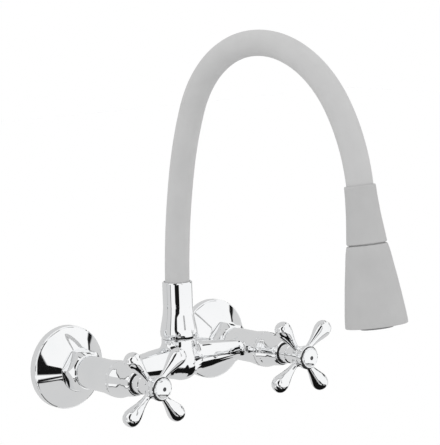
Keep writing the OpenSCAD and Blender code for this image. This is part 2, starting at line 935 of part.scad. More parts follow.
module water_hose() {
    color(nylon)
        difference() {
            whole_route_bar(water_d, water_hose_start, hose_grip);
            whole_route_bar(water_bore_d, water_hose_start - over, hose_grip + over);
        }
}

// Spray head

module head_collar() {
    steps = 10;
    end_r = collar_end_d / 2;
    top_r = collar_top_d / 2;
    color(silicone)
        difference() {
            turned_solid(concat(
                [[top_r - 0.5, 0], [top_r, 0.5]],
                [for (i = [1 : steps])
                    let (t = i / steps)
                    [top_r + (end_r - top_r) * pow(t, 1.35), 0.5 + (collar_len - 0.9) * t]],
                [[end_r - 0.4, collar_len]]));
            bar(hose_d + 2 * seat_gap, -over, hose_grip + seat_gap);
            bar(core_d + 2 * seat_gap, hose_grip, collar_len + over);
        }
}

module head_core() {
    barb_d = water_bore_d - 2 * seat_gap;
    color(nylon)
        difference() {
            union() {
                bar(barb_d, 4, core_top + 1);
                bar(core_d, core_top, core_end);
                bar(aerator_d, core_end - core_flange_t, core_end);
            }
            bar(barb_d - 2.4, 3, core_top + 3);
            bar(core_bore_d, core_top + 3, core_end + 1);
            tube(aerator_d + 2, aerator_d - 2.4, core_end - core_flange_t / 2 - 0.8,
                core_end - core_flange_t / 2 + 0.8);
        }
}

module head_o_ring() {
    o_ring(aerator_d + running_gap, 1.2, core_end - core_flange_t / 2);
}

// Shell: a cone that turns on the core, with an inner tube for the aerator

function shell_outline(inset) = let (
    top_r = shell_top_d / 2,
    max_r = shell_d / 2,
    widest = shell_end - 3.6
) concat(
    [[top_r - 0.4 - inset, shell_top], [top_r - inset, shell_top + 0.4]],
    [for (i = [1 : 10])
        let (t = i / 10)
        [top_r + (max_r - top_r) * (1.14 * t - 0.14 * t * t) - inset,
            shell_top + 0.4 + (widest - shell_top - 0.4) * t]],
    [[max_r - inset, shell_end - 1.6], [max_r - 0.5 - inset, shell_end - 0.4],
        [max_r - 1.2 - inset, shell_end]]);

module head_shell() {
    tube_d = aerator_d + 2 * running_gap;
    tube_wall = 1.4;
    tube_top = core_end - core_flange_t - 2;
    color(silicone)
        difference() {
            union() {
                difference() {
                    turned_solid(shell_outline(0));
                    intersection() {
                        turned_solid(shell_outline(shell_wall));
                        bar(shell_d, shell_top + bearing_len, shell_end - plate_t);
                    }
                }
                bar(tube_d + 2 * tube_wall, tube_top, shell_end - 1);
            }
            bar(core_d + 2 * running_gap, shell_top - over, tube_top + over);
            bar(tube_d, tube_top, shell_end + over);
        }
}

module aerator_seal() {
    color(rubber)
        tube(aerator_d - 0.4, aerator_d - 6, core_end + running_gap, aerator_top - seat_gap);
}

module aerator_housing() {
    wall = 1.4;
    color(nylon)
        difference() {
            bar(aerator_d, aerator_top, aerator_end);
            bar(aerator_d - 2 * wall, aerator_top + 2, aerator_end + over);
            bar(aerator_d - 8, aerator_top - over, aerator_end);
        }
}

// Aerator insert: a perforated disc recessed in the housing

module aerator_insert() {
    wall = 1.4;
    disc_r = aerator_d / 2 - wall - seat_gap;
    hole_d = 1.5;
    color(nylon)
        translate([0, 0, aerator_end - 4.5])
            difference() {
                cylinder(r = disc_r, h = 3.6);
                for (ring = [1 : 4])
                    for (i = [0 : 6 * ring - 1])
                        rotate([0, 0, i * 60 / ring])
                            translate([ring * disc_r / 4.8, 0, -1])
                                cylinder(d = hole_d, h = 6, $fn = 16);
            }
}

mixer_body();
on_valve(-1) wall_connector();  // left_wall_connector
on_valve(1) wall_connector();  // right_wall_connector
on_valve(-1) escutcheon();  // left_escutcheon
on_valve(1) escutcheon();  // right_escutcheon
on_valve(-1) union_nut(left_nut_turn);  // left_union_nut
on_valve(1) union_nut(right_nut_turn);  // right_union_nut
on_valve(-1) inlet_washer();  // left_inlet_washer
on_valve(1) inlet_washer();  // right_inlet_washer
on_valve(-1) inlet_nipple();  // left_inlet_nipple
on_valve(1) inlet_nipple();  // right_inlet_nipple
on_valve(-1) headwork();  // left_headwork
on_valve(1) headwork();  // right_headwork
on_valve(-1) seat_seal();  // left_seat_seal
on_valve(1) seat_seal();  // right_seat_seal
on_valve(-1) fixed_disc();  // left_fixed_disc
on_valve(1) fixed_disc();  // right_fixed_disc
on_valve(-1) turning_disc();  // left_turning_disc
on_valve(1) turning_disc();  // right_turning_disc
on_valve(-1) spindle();  // left_spindle
on_valve(1) spindle();  // right_spindle
on_valve(-1) spindle_o_ring();  // left_spindle_o_ring
on_valve(1) spindle_o_ring();  // right_spindle_o_ring
on_valve(-1) spindle_clip();  // left_spindle_clip
on_valve(1) spindle_clip();  // right_spindle_clip
on_valve(-1) bonnet();  // left_bonnet
on_valve(1) bonnet();  // right_bonnet
on_valve(-1) handle(left_rest_angle);  // left_handle
on_valve(1) handle(right_rest_angle);  // right_handle
on_valve(-1) handle_screw();  // left_handle_screw
on_valve(1) handle_screw();  // right_handle_screw
on_valve(-1) index_cap();  // left_index_cap
on_valve(1) index_cap();  // right_index_cap
on_swivel() spout_sleeve();
on_swivel() spout_tail();
on_swivel() spout_o_rings();
hose_rise();
hose_crown();
hose_drop();
gooseneck_liner();
water_hose();
on_head() head_collar();
on_head() head_core();
on_head() head_o_ring();
on_head() head_shell();
on_head() aerator_seal();
on_head() aerator_housing();
on_head() aerator_insert();
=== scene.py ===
"""The looks of a wall-mounted kitchen mixer tap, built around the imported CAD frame."""

import json

import bmesh
import bpy
import numpy as np
import openvdb
from mathutils import Matrix, Vector


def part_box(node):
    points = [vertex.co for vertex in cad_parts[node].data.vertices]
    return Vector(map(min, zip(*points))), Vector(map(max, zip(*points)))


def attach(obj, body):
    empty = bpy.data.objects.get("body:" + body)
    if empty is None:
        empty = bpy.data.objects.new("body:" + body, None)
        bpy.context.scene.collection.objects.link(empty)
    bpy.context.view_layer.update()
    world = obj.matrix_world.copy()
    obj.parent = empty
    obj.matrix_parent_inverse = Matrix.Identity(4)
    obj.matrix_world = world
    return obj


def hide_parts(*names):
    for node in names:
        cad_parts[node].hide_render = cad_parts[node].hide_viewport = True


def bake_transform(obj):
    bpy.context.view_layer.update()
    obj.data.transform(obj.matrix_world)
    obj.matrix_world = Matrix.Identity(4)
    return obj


MM = 0.001
PHOTO_WIDTH = 440

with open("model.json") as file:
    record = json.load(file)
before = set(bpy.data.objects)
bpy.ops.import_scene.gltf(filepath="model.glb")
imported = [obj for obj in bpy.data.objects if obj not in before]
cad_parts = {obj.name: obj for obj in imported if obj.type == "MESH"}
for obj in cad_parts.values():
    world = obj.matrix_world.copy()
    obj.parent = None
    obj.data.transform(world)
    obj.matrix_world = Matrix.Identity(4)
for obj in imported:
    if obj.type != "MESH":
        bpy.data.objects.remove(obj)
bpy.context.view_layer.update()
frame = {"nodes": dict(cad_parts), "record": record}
nodes = frame["nodes"]


# Places read from the frame, in millimetres

def span(node, axis):
    """Lowest and highest place of a CAD node along an axis."""
    low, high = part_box(node)
    return low[axis] / MM, high[axis] / MM


def middle(node, axis):
    low, high = span(node, axis)
    return (low + high) / 2


VALVE_X = middle("right_index_cap", 0)
VALVE_Z = middle("right_index_cap", 2)
SPOUT_OUT = -middle("spout_tail", 1)
ESCUTCHEON_FRONT = -span("left_escutcheon", 1)[0]
NUT_BACK = -span("left_union_nut", 1)[1]
NUT_FRONT = -span("left_union_nut", 1)[0]
TAIL_BACK = -span("mixer_body", 1)[1]
BODY_FRONT = -span("mixer_body", 1)[0]
BONNET_BACK = -span("left_bonnet", 1)[1]
BONNET_FRONT = -span("left_bonnet", 1)[0]
HUB_BACK = -span("left_handle", 1)[1]
HUB_FRONT = -span("left_handle", 1)[0]
SLEEVE_FOOT = span("spout_sleeve", 2)[0] - VALVE_Z
SLEEVE_TOP = span("spout_sleeve", 2)[1] - VALVE_Z

# The hose's route, as in the CAD: radius in millimetres and turn in degrees

ROUTE_RISE = 50.8
ROUTE_LINK = 0.6
ROUTE_STEP = 1.5
ROUTE_ARCS = [(491, 11.9), (268, 11), (86, 42.1), (86, 16.4), (97.5, 33.6), (97.5, 33), (133, 24)]
HOSE_GRIP = 14
HOSE_R = 9.75
HOSE_BORE_R = 7.25
LINER_R = 7.2
LINER_BORE_R = 5.5
WATER_R = 5.45
WATER_BORE_R = 4.05


# Frames that place a shape, with its own Z axis along the part

def placed(origin, z_axis, x_axis=(1, 0, 0)):
    """A matrix that puts a shape at origin, in millimetres, with its Z along z_axis."""
    z = Vector(z_axis).normalized()
    x = Vector(x_axis)
    x = (x - z * x.dot(z)).normalized()
    y = z.cross(x)
    turn = Matrix((x, y, z)).transposed().to_4x4()
    return Matrix.Translation(Vector(origin) * MM) @ turn


def on_valve(side):
    return placed((side * VALVE_X, 0, VALVE_Z), (0, -1, 0))


def on_swivel():
    return placed((0, -SPOUT_OUT, VALVE_Z), (0, 0, 1))


def route_points(step):
    """Points and headings along the hose's route, as (out, up, heading) in millimetres and degrees."""
    heading = 90.0
    place = np.array([SPOUT_OUT, VALVE_Z + ROUTE_RISE])
    points = [(*place, heading)]
    marks = [0]
    for radius, turn in ROUTE_ARCS:
        away = np.radians(heading - 90)
        centre = place + radius * np.array([np.cos(away), np.sin(away)])
        count = max(2, int(np.ceil(radius * np.radians(turn) / step)))
        for i in range(1, count + 1):
            now = heading - turn * i / count
            back = np.radians(now + 90)
            points.append((*(centre + radius * np.array([np.cos(back), np.sin(back)])), now))
        heading -= turn
        along = np.radians(heading)
        place = np.array(points[-1][:2]) + ROUTE_LINK * np.array([np.cos(along), np.sin(along)])
        points.append((*place, heading))
        marks.append(len(points) - 1)
    return points, marks


ROUTE, ROUTE_MARKS = route_points(ROUTE_STEP)
HEAD_OUT, HEAD_UP, HEAD_HEADING = ROUTE[-1]
HEAD_AXIS = Vector((0, -np.cos(np.radians(HEAD_HEADING)), np.sin(np.radians(HEAD_HEADING))))


def on_head():
    return placed((0, -HEAD_OUT, HEAD_UP), HEAD_AXIS)


# Outlines: lists of (radius, station) points, with every corner rounded

STRAIGHT_DEGREES = 179.5
FILLET_SHARE = 0.48


def rounded(points, closed=False, step=9.0):
    """Rounds each (radius, station, fillet) corner with an arc and keeps the ends of an open line."""
    flat = [np.array(p[:2], float) for p in points]
    fillets = [p[2] if len(p) > 2 else 0.0 for p in points]
    count = len(flat)
    out = []
    for i in range(count):
        fillet = fillets[i]
        if fillet <= 0 or (not closed and i in (0, count - 1)):
            out.append(flat[i])
            continue
        before = flat[i - 1] - flat[i]
        after = flat[(i + 1) % count] - flat[i]
        len_before, len_after = np.linalg.norm(before), np.linalg.norm(after)
        before, after = before / len_before, after / len_after
        inner = np.arccos(np.clip(before @ after, -1, 1))
        if inner > np.radians(STRAIGHT_DEGREES):
            out.append(flat[i])
            continue
        reach = min(fillet / np.tan(inner / 2), FILLET_SHARE * len_before, FILLET_SHARE * len_after)
        radius = reach * np.tan(inner / 2)
        bisector = before + after
        centre = flat[i] + bisector / np.linalg.norm(bisector) * radius / np.sin(inner / 2)
        start = flat[i] + before * reach - centre
        end = flat[i] + after * reach - centre
        sweep = np.pi - inner
        turns = max(2, int(np.ceil(np.degrees(sweep) / step)))
        sign = np.sign(start[0] * end[1] - start[1] * end[0])
        for k in range(turns + 1):
            a = sign * sweep * k / turns
            c, s = np.cos(a), np.sin(a)
            turned = np.array([c * start[0] - s * start[1], s * start[0] + c * start[1]])
            out.append(centre + turned)
    return np.array(out)


def curved(points, per_span=8):
    """A smooth line through the points (centripetal Catmull-Rom)."""
    given = np.array(points, float)
    ends = np.vstack([2 * given[0] - given[1], given, 2 * given[-1] - given[-2]])
    out = []
    for i in range(1, len(ends) - 2):
        p0, p1, p2, p3 = ends[i - 1:i + 3]
        t1 = np.linalg.norm(p1 - p0) ** 0.5
        t2 = t1 + np.linalg.norm(p2 - p1) ** 0.5
        t3 = t2 + np.linalg.norm(p3 - p2) ** 0.5
        for t in np.linspace(t1, t2, per_span, endpoint=False):
            a1 = p0 + (p1 - p0) * t / t1
            a2 = p1 + (p2 - p1) * (t - t1) / (t2 - t1)
            a3 = p2 + (p3 - p2) * (t - t2) / (t3 - t2)
            b1 = a1 + (a2 - a1) * t / t2
            b2 = a2 + (a3 - a2) * (t - t1) / (t3 - t1)
            out.append(b1 + (b2 - b1) * (t - t1) / (t2 - t1))
    out.append(given[-1])
    return np.array(out)


def outline_normals(outline, closed):
    """Outward normals, where a long straight stretch decides the normal at its ends."""
    ahead = np.roll(outline, -1, axis=0) - outline
    if not closed:
        ahead[-1] = 0
    behind = np.roll(ahead, 1, axis=0)
    if not closed:
        behind[0] = 0

    def weighted(v):
        return v * np.linalg.norm(v, axis=1, keepdims=True)

    along = weighted(ahead) + weighted(behind)
    normals = np.stack([along[:, 1], -along[:, 0]], axis=1)
    normals /= np.maximum(np.linalg.norm(normals, axis=1, keepdims=True), 1e-12)
    loop = outline if closed else np.vstack([[0, outline[0, 1]], outline, [0, outline[-1, 1]]])
    after = np.roll(loop, -1, axis=0)
    area = (loop[:, 0] * after[:, 1] - after[:, 0] * loop[:, 1]).sum()
    return normals if area > 0 else -normals, area > 0


# Mesh makers

def smooth(mesh):
    mesh.polygons.foreach_set("use_smooth", [True] * len(mesh.polygons))


def new_object(name, vertices, faces, normals=None):
    mesh = bpy.data.meshes.new(name)
    mesh.from_pydata(vertices, [], faces)
    smooth(mesh)
    mesh.update()
    if normals is not None:
        mesh.normals_split_custom_set_from_vertices(normals)
    obj = bpy.data.objects.new(name, mesh)
    bpy.context.scene.collection.objects.link(obj)
    return obj


def lathe(name, outline, place, closed=False, segments=144):
    """A solid of revolution: a ring from a closed outline, or a solid from an open one."""
    outline = np.asarray(outline, float)
    normals, outward = outline_normals(outline, closed)
    angles = np.linspace(0, 2 * np.pi, segments, endpoint=False)
    cos, sin = np.cos(angles), np.sin(angles)
    vertices = []
    vertex_normals = []
    rings = []
    for (r, t), (nr, nt) in zip(outline, normals):
        first = len(vertices)
        if r < 1e-6:
            vertices.append((0, 0, t * MM))
            vertex_normals.append((0, 0, np.sign(nt) or 1))
            rings.append([first] * segments)
            continue
        vertices += [(r * c * MM, r * s * MM, t * MM) for c, s in zip(cos, sin)]
        vertex_normals += [(nr * c, nr * s, nt) for c, s in zip(cos, sin)]
        rings.append(list(range(first, first + segments)))
    faces = []
    pairs = list(zip(rings, rings[1:])) + ([(rings[-1], rings[0])] if closed else [])
    for low, high in pairs:
        for i in range(segments):
            j = (i + 1) % segments
            corners = [low[i], low[j], high[j], high[i]]
            if not outward:
                corners.reverse()
            face = tuple(dict.fromkeys(corners))
            if len(face) > 2:
                faces.append(face)
    if not closed:
        for ring, top in ((rings[0], not outward), (rings[-1], outward)):
            if len(set(ring)) > 1:
                faces.append(tuple(ring if top else reversed(ring)))
    obj = new_object(name, vertices, faces, vertex_normals)
    obj.data.transform(place)
    return obj


def flat_ring(name, inner_r, outer_r, low, high, fillet, front_fillet, place):
    """A ring with a rectangular section, whose outer front edge has a fillet of its own."""
    section = rounded([(inner_r, low, fillet), (outer_r, low, fillet),
                       (outer_r, high, front_fillet), (inner_r, high, fillet)], closed=True)
    return lathe(name, section, place, closed=True)


def swept_tube(name, stations, outer_r, bore_r, segments=72):
    """A tube along (out, up, heading) stations in the spout's plane."""
    angles = np.linspace(0, 2 * np.pi, segments, endpoint=False)
    vertices = []
    normals = []
    for radius, sign in ((outer_r, 1), (bore_r, -1)):
        for out, up, heading in stations:
            side = np.radians(heading + 90)
            across = np.array([0, -np.cos(side), np.sin(side)])
            for a in angles:
                direction = np.cos(a) * np.array([1, 0, 0]) + np.sin(a) * across
                vertices.append((np.array([0, -out, up]) + radius * direction) * MM)
                normals.append(sign * direction)
    count = len(stations)
    faces = []
    for shell in (0, 1):
        base = shell * count * segments
        for k in range(count - 1):
            for i in range(segments):
                j = (i + 1) % segments
                corners = (base + k * segments + i, base + k * segments + j,
                           base + (k + 1) * segments + j, base + (k + 1) * segments + i)
                faces.append(corners[::-1] if shell else corners)
    for k, flip in ((0, True), (count - 1, False)):
        for i in range(segments):
            j = (i + 1) % segments
            outer = (k * segments + i, k * segments + j)
            inner = (count * segments + k * segments + j, count * segments + k * segments + i)
            faces.append((outer + inner)[::-1] if flip else outer + inner)
    return new_object(name, vertices, faces, normals)


# Cast shapes: distance fields that are joined with fillets and meshed

FIELD_REACH = 14.0
FIELD_STEP = 0.1
BAND_CELLS = 3
SLOPE_REACH = 0.02
LEAST_STEEPNESS = 0.2
SNAP_ROUNDS = 3


def outline_distance(outline, r, t):
    """Signed distance from (r, t) to an open outline that is closed by the axis; negative inside."""
    best = np.full(r.shape, 1e9)
    for a, b in zip(outline[:-1], outline[1:]):
        along = b - a
        length = along @ along
        if length < 1e-12:
            continue
        share = np.clip(((r - a[0]) * along[0] + (t - a[1]) * along[1]) / length, 0, 1)
        gap = (r - a[0] - share * along[0]) ** 2 + (t - a[1] - share * along[1]) ** 2
        best = np.minimum(best, gap)
    loop = np.vstack([outline, [-1e-3, outline[-1, 1]], [-1e-3, outline[0, 1]]])
    inside = np.zeros(r.shape, bool)
    for a, b in zip(loop, np.roll(loop, -1, axis=0)):
        if a[1] == b[1]:
            continue
        crosses = (a[1] > t) != (b[1] > t)
        inside ^= crosses & (r < (b[0] - a[0]) * (t - a[1]) / (b[1] - a[1]) + a[0])
    return np.where(inside, -1, 1) * np.sqrt(best)


class Turned:
    """The distance field of a lathe shape: its outline, and where its axis lies."""

    def __init__(self, outline, place):
        self.outline = np.asarray(outline, float)
        self.world_to_shape = np.array(place.inverted())
        low = self.outline.min(axis=0) - FIELD_REACH
        high = self.outline.max(axis=0) + FIELD_REACH
        self.low = np.array([0.0, low[1]])
        size = np.ceil((high - self.low) / FIELD_STEP).astype(int) + 2
        r = self.low[0] + FIELD_STEP * np.arange(size[0])
        t = self.low[1] + FIELD_STEP * np.arange(size[1])
        grid = np.meshgrid(r, t, indexing="ij")
        self.table = outline_distance(self.outline, *grid)

    def radius_and_station(self, points):
        turn = self.world_to_shape[:3, :3]
        local = points @ turn.T + self.world_to_shape[:3, 3] / MM
        return np.hypot(local[..., 0], local[..., 1]), local[..., 2]

    def exact(self, points):
        return outline_distance(self.outline, *self.radius_and_station(points))

    def quick(self, points):
        r, t = self.radius_and_station(points)
        u = np.clip((r - self.low[0]) / FIELD_STEP, 0, self.table.shape[0] - 1.001)
        v = np.clip((t - self.low[1]) / FIELD_STEP, 0, self.table.shape[1] - 1.001)
        i, j = u.astype(int), v.astype(int)
        u, v = u - i, v - j
        table = self.table
        near = table[i, j] * (1 - v) + table[i, j + 1] * v
        far = table[i + 1, j] * (1 - v) + table[i + 1, j + 1] * v
        return near * (1 - u) + far * u


def filleted(a, b, fillet):
    """The smaller of two distances, with a fillet where they are alike."""
    share = np.maximum(fillet - np.abs(a - b), 0) / fillet
    return np.minimum(a, b) - share * share * fillet / 4


def cast(name, shapes, low, high, cell):
    """Meshes shapes, given as (Turned, fillet) pairs, with exact places and normals at each point."""
    def field(points, exact):
        total = None
        for shape, fillet in shapes:
            distance = shape.exact(points) if exact else shape.quick(points)
            total = distance if total is None else filleted(total, distance, fillet)
        return total

    axes = [np.arange(l, h + cell, cell) for l, h in zip(low, high)]
    values = np.stack(np.meshgrid(*axes, indexing="ij"), axis=-1)
    band = BAND_CELLS * cell
    grid = openvdb.FloatGrid(band)
    grid.copyFromArray(np.clip(field(values, False), -band, band).astype(np.float32))
    corners, quads = grid.convertToQuads(0.0)
    points = corners.astype(float) * cell + np.array(low)

    def slope(at):
        parts = []
        for axis in range(3):
            shift = np.zeros(3)
            shift[axis] = SLOPE_REACH
            rise = field(at + shift, True) - field(at - shift, True)
            parts.append(rise / (2 * SLOPE_REACH))
        return np.stack(parts, axis=-1)

    for _ in range(SNAP_ROUNDS):
        gradient = slope(points)
        steepness = np.maximum((gradient ** 2).sum(axis=1), LEAST_STEEPNESS)
        points = points - gradient * (field(points, True) / steepness)[:, None]
    normals = slope(points)
    normals /= np.maximum(np.linalg.norm(normals, axis=1, keepdims=True), 1e-9)
    a, b, c = (points[quads[:, k]] for k in (0, 1, 2))
    facing = (np.cross(b - a, c - a) * normals[quads[:, 0]]).sum(axis=1)
    if np.median(facing) < 0:
        quads = quads[:, ::-1]
    return new_object(name, points * MM, [tuple(q) for q in quads.tolist()], normals)


def applied(obj):
    """A new mesh of an object as its modifiers leave it."""
    bpy.context.view_layer.update()
    graph = bpy.context.evaluated_depsgraph_get()
    return bpy.data.meshes.new_from_object(obj.evaluated_get(graph))


def carry(obj, tool, operation):
    """Applies an exact boolean and removes the tool."""
    cut = obj.modifiers.new("cut", "BOOLEAN")
    cut.operation = operation
    cut.solver = "EXACT"
    cut.object = tool
    mesh = applied(obj)
    obj.modifiers.clear()
    old = obj.data
    obj.data = mesh
    bpy.data.meshes.remove(old)
    bpy.data.objects.remove(tool)


def joined(obj, *others):
    """Merges other meshes into obj, keeping their normals."""
    vertices = []
    faces = []
    normals = []
    for part in (obj, *others):
        base = len(vertices)
        mesh = part.data
        vertices += [tuple(v.co) for v in mesh.vertices]
        corner_normals = [tuple(n.vector) for n in mesh.corner_normals]
        for polygon in mesh.polygons:
            faces.append(tuple(base + v for v in polygon.vertices))
            normals += [corner_normals[k] for k in polygon.loop_indices]
    mesh = bpy.data.meshes.new(obj.name)
    mesh.from_pydata(vertices, [], faces)
    smooth(mesh)
    mesh.update()
    mesh.normals_split_custom_set(normals)
    obj.data = mesh
    for part in others:
        bpy.data.objects.remove(part)


# Materials

METAL = 1.0
NON_METAL = 0.0
MATT_ROUGHNESS = 0.9
GRAIN_DEPTH = 0.0002
GRAIN_DETAIL = 2.0


def material(name, base_color, metallic=0.0, roughness=0.4):
    """A Principled material, its node tree and its shader."""
    made = bpy.data.materials.new(name)
    made.use_nodes = True
    shader = made.node_tree.nodes["Principled BSDF"]
    shader.inputs["Base Color"].default_value = (*base_color, 1)
    shader.inputs["Metallic"].default_value = metallic
    shader.inputs["Roughness"].default_value = roughness
    return made, made.node_tree, shader


def matt(name, tone):
    """A grey material without gloss."""
    made, tree, shader = material(name, (tone, tone, tone), NON_METAL, MATT_ROUGHNESS)
    shader.inputs["Specular IOR Level"].default_value = 0.0
    return made, tree, shader


def noise(tree, scale, detail=4.0, rough=0.5):
    """Noise laid out in the object's own space, in features a metre."""
    place = tree.nodes.new("ShaderNodeTexCoord")
    texture = tree.nodes.new("ShaderNodeTexNoise")
    texture.inputs["Scale"].default_value = scale
    texture.inputs["Detail"].default_value = detail
    texture.inputs["Roughness"].default_value = rough
    tree.links.new(place.outputs["Object"], texture.inputs["Vector"])
    return texture.outputs["Fac"]


def ranged(tree, value, low, high):
    """Maps a noise value to a range."""
    made = tree.nodes.new("ShaderNodeMapRange")
    made.inputs["From Min"].default_value = 0.25
    made.inputs["From Max"].default_value = 0.75
    made.inputs["To Min"].default_value = low
    made.inputs["To Max"].default_value = high
    tree.links.new(value, made.inputs["Value"])
    return made.outputs["Result"]


def coloured(tree, value, low, high):
    """Maps a noise value to a colour between two."""
    ramp = tree.nodes.new("ShaderNodeValToRGB")
    ramp.color_ramp.elements[0].position = 0.3
    ramp.color_ramp.elements[0].color = (*low, 1)
    ramp.color_ramp.elements[1].position = 0.7
    ramp.color_ramp.elements[1].color = (*high, 1)
    tree.links.new(value, ramp.inputs["Fac"])
    return ramp.outputs["Color"]


def bumped(tree, shader, scale, strength):
    """Gives a shader a fine grain."""
    bump = tree.nodes.new("ShaderNodeBump")
    bump.inputs["Strength"].default_value = strength
    bump.inputs["Distance"].default_value = GRAIN_DEPTH
    tree.links.new(noise(tree, scale, GRAIN_DETAIL), bump.inputs["Height"])
    tree.links.new(bump.outputs["Normal"], shader.inputs["Normal"])


def grained(name, low, high, metallic, rough, cloud_scale, grain=0.0, grain_scale=900):
    """A surface whose colour and roughness vary softly, with a fine grain if asked."""
    made, tree, shader = material(name, low, metallic)
    cloud = noise(tree, cloud_scale)
    tree.links.new(coloured(tree, cloud, low, high), shader.inputs["Base Color"])
    tree.links.new(ranged(tree, cloud, *rough), shader.inputs["Roughness"])
    if grain:
        bumped(tree, shader, grain_scale, grain)
    return made


def grey(tone):
    return tone, tone, tone


# Each slot's surface: its name, darker and lighter colour, whether it is metal, lowest and highest
# roughness, clouds a metre, and for some the strength of the grain and its features a metre

SURFACES = {
    "chrome": ("polished_chrome", (0.90, 0.91, 0.92), (0.94, 0.945, 0.95), METAL, (0.025, 0.06), 35),
    "brass": ("machined_brass", (0.62, 0.45, 0.20), (0.72, 0.55, 0.28), METAL, (0.25, 0.4), 120, 0.1),
    "steel": ("plain_steel", (0.50, 0.50, 0.51), (0.60, 0.60, 0.62), METAL, (0.28, 0.42), 150, 0.1),
    "ceramic": ("polished_ceramic", (0.80, 0.80, 0.76), (0.86, 0.86, 0.83), NON_METAL, (0.12, 0.2),
                90),
    "seal_rubber": ("seal_rubber", (0.012, 0.012, 0.013), grey(0.03), NON_METAL, (0.5, 0.7), 200, 0.2),
    "silicone_hose": ("grey_silicone", grey(0.575), grey(0.605), NON_METAL, (0.52, 0.62), 60,
                      0.12, 2500),
    "soft_head": ("soft_touch_grey", grey(0.505), grey(0.535), NON_METAL, (0.5, 0.6), 60, 0.1, 2800),
    "water_hose": ("pressure_hose", (0.62, 0.62, 0.58), (0.7, 0.7, 0.66), NON_METAL, (0.4, 0.5), 80),
    "nylon": ("moulded_nylon", (0.06, 0.06, 0.065), (0.1, 0.1, 0.105), NON_METAL, (0.35, 0.5), 100,
              0.1),
    "aerator": ("aerator_grey", (0.20, 0.20, 0.205), (0.25, 0.25, 0.255), NON_METAL, (0.35, 0.5), 100,
                0.1),
    "mark": ("index_enamel", (0.03, 0.03, 0.035), (0.05, 0.05, 0.055), NON_METAL, (0.2, 0.3), 100),
}

MATERIALS = {slot: grained(*surface) for slot, surface in SURFACES.items()}
MATERIALS["index_cap"] = MATERIALS["chrome"]


def finish_piece(obj, slot, body, *replaced):
    """Gives a piece its material, its body and the CAD nodes that it stands for."""
    obj.data.materials.clear()
    obj.data.materials.append(MATERIALS[slot])
    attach(obj, body)
    if replaced:
        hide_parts(*replaced)


# Escutcheons

def bowed(start, end, fullness, count=30):
    """A quadratic curve, with a fullness from 0.5 for a straight line to 1 for a square shoulder."""
    start, end = np.array(start, float), np.array(end, float)
    shoulder = np.array([end[0] + fullness * (start[0] - end[0]),
                         start[1] + fullness * (end[1] - start[1])])
    t = np.linspace(0, 1, count)[:, None]
    return (1 - t) ** 2 * start + 2 * t * (1 - t) * shoulder + t ** 2 * end


def make_escutcheon(side_name, side):
    rim_r = 33.15
    rim = 6.0
    wall = 1.2
    neck_r = 13.25
    mouth_r = 17.8
    fullness = 0.54
    front = ESCUTCHEON_FRONT
    cone_r = rim_r - 1.0
    mouth_inside = (mouth_r - wall, front - wall - 0.5)
    dome = bowed((cone_r, rim + 0.5), (mouth_r, front - 0.45), fullness)
    edge = rounded([(rim_r, 0, 0.3), (rim_r, rim - 0.1, 0.45), (rim_r - 0.9, rim, 0.2), dome[0]])
    lip = rounded([dome[-1], (mouth_r - 0.65, front, 0.6), (neck_r, front, 0.25),
                   (neck_r, front - wall, 0.2), (mouth_r - wall - 0.8, front - wall, 0.4),
                   mouth_inside])
    inside = bowed((cone_r - wall, rim - 0.5), mouth_inside, fullness)[::-1]
    outline = np.vstack([edge[:-1], dome, lip[1:], inside[1:], [(cone_r - wall, 0)]])
    piece = lathe(f"{side_name}_escutcheon_shell", outline, on_valve(side), closed=True, segments=192)
    finish_piece(piece, "chrome", "root", f"{side_name}_escutcheon")


# Union nuts

NUT_TURNS = {"left": -7.5, "right": -17.0}
NUT_FLAT_R = 15.0
NUT_CORNER_R = NUT_FLAT_R / np.cos(np.radians(30))
NUT_CHAMFER = 5.2
NUT_LIP = 3.4
NUT_BORE_R = 13.25
NUT_MOUTH_R = 9.55
NUT_EDGE = 0.35


def hexagonal_bar(name, turn):
    """A hexagonal prism as long as the nut."""
    angles = np.radians(np.arange(6) * 60 + turn)
    prism = bmesh.new()
    rings = []
    for station in (NUT_BACK, NUT_FRONT):
        corners = [(NUT_CORNER_R * np.cos(a) * MM, NUT_CORNER_R * np.sin(a) * MM, station * MM)
                   for a in angles]
        rings.append([prism.verts.new(corner) for corner in corners])
    for i in range(6):
        j = (i + 1) % 6
        prism.faces.new((rings[0][i], rings[0][j], rings[1][j], rings[1][i]))
    prism.faces.new(rings[0][::-1])
    prism.faces.new(rings[1])
    mesh = bpy.data.meshes.new(name)
    prism.to_mesh(mesh)
    prism.free()
    bar = bpy.data.objects.new(name, mesh)
    bpy.context.scene.collection.objects.link(bar)
    return bar


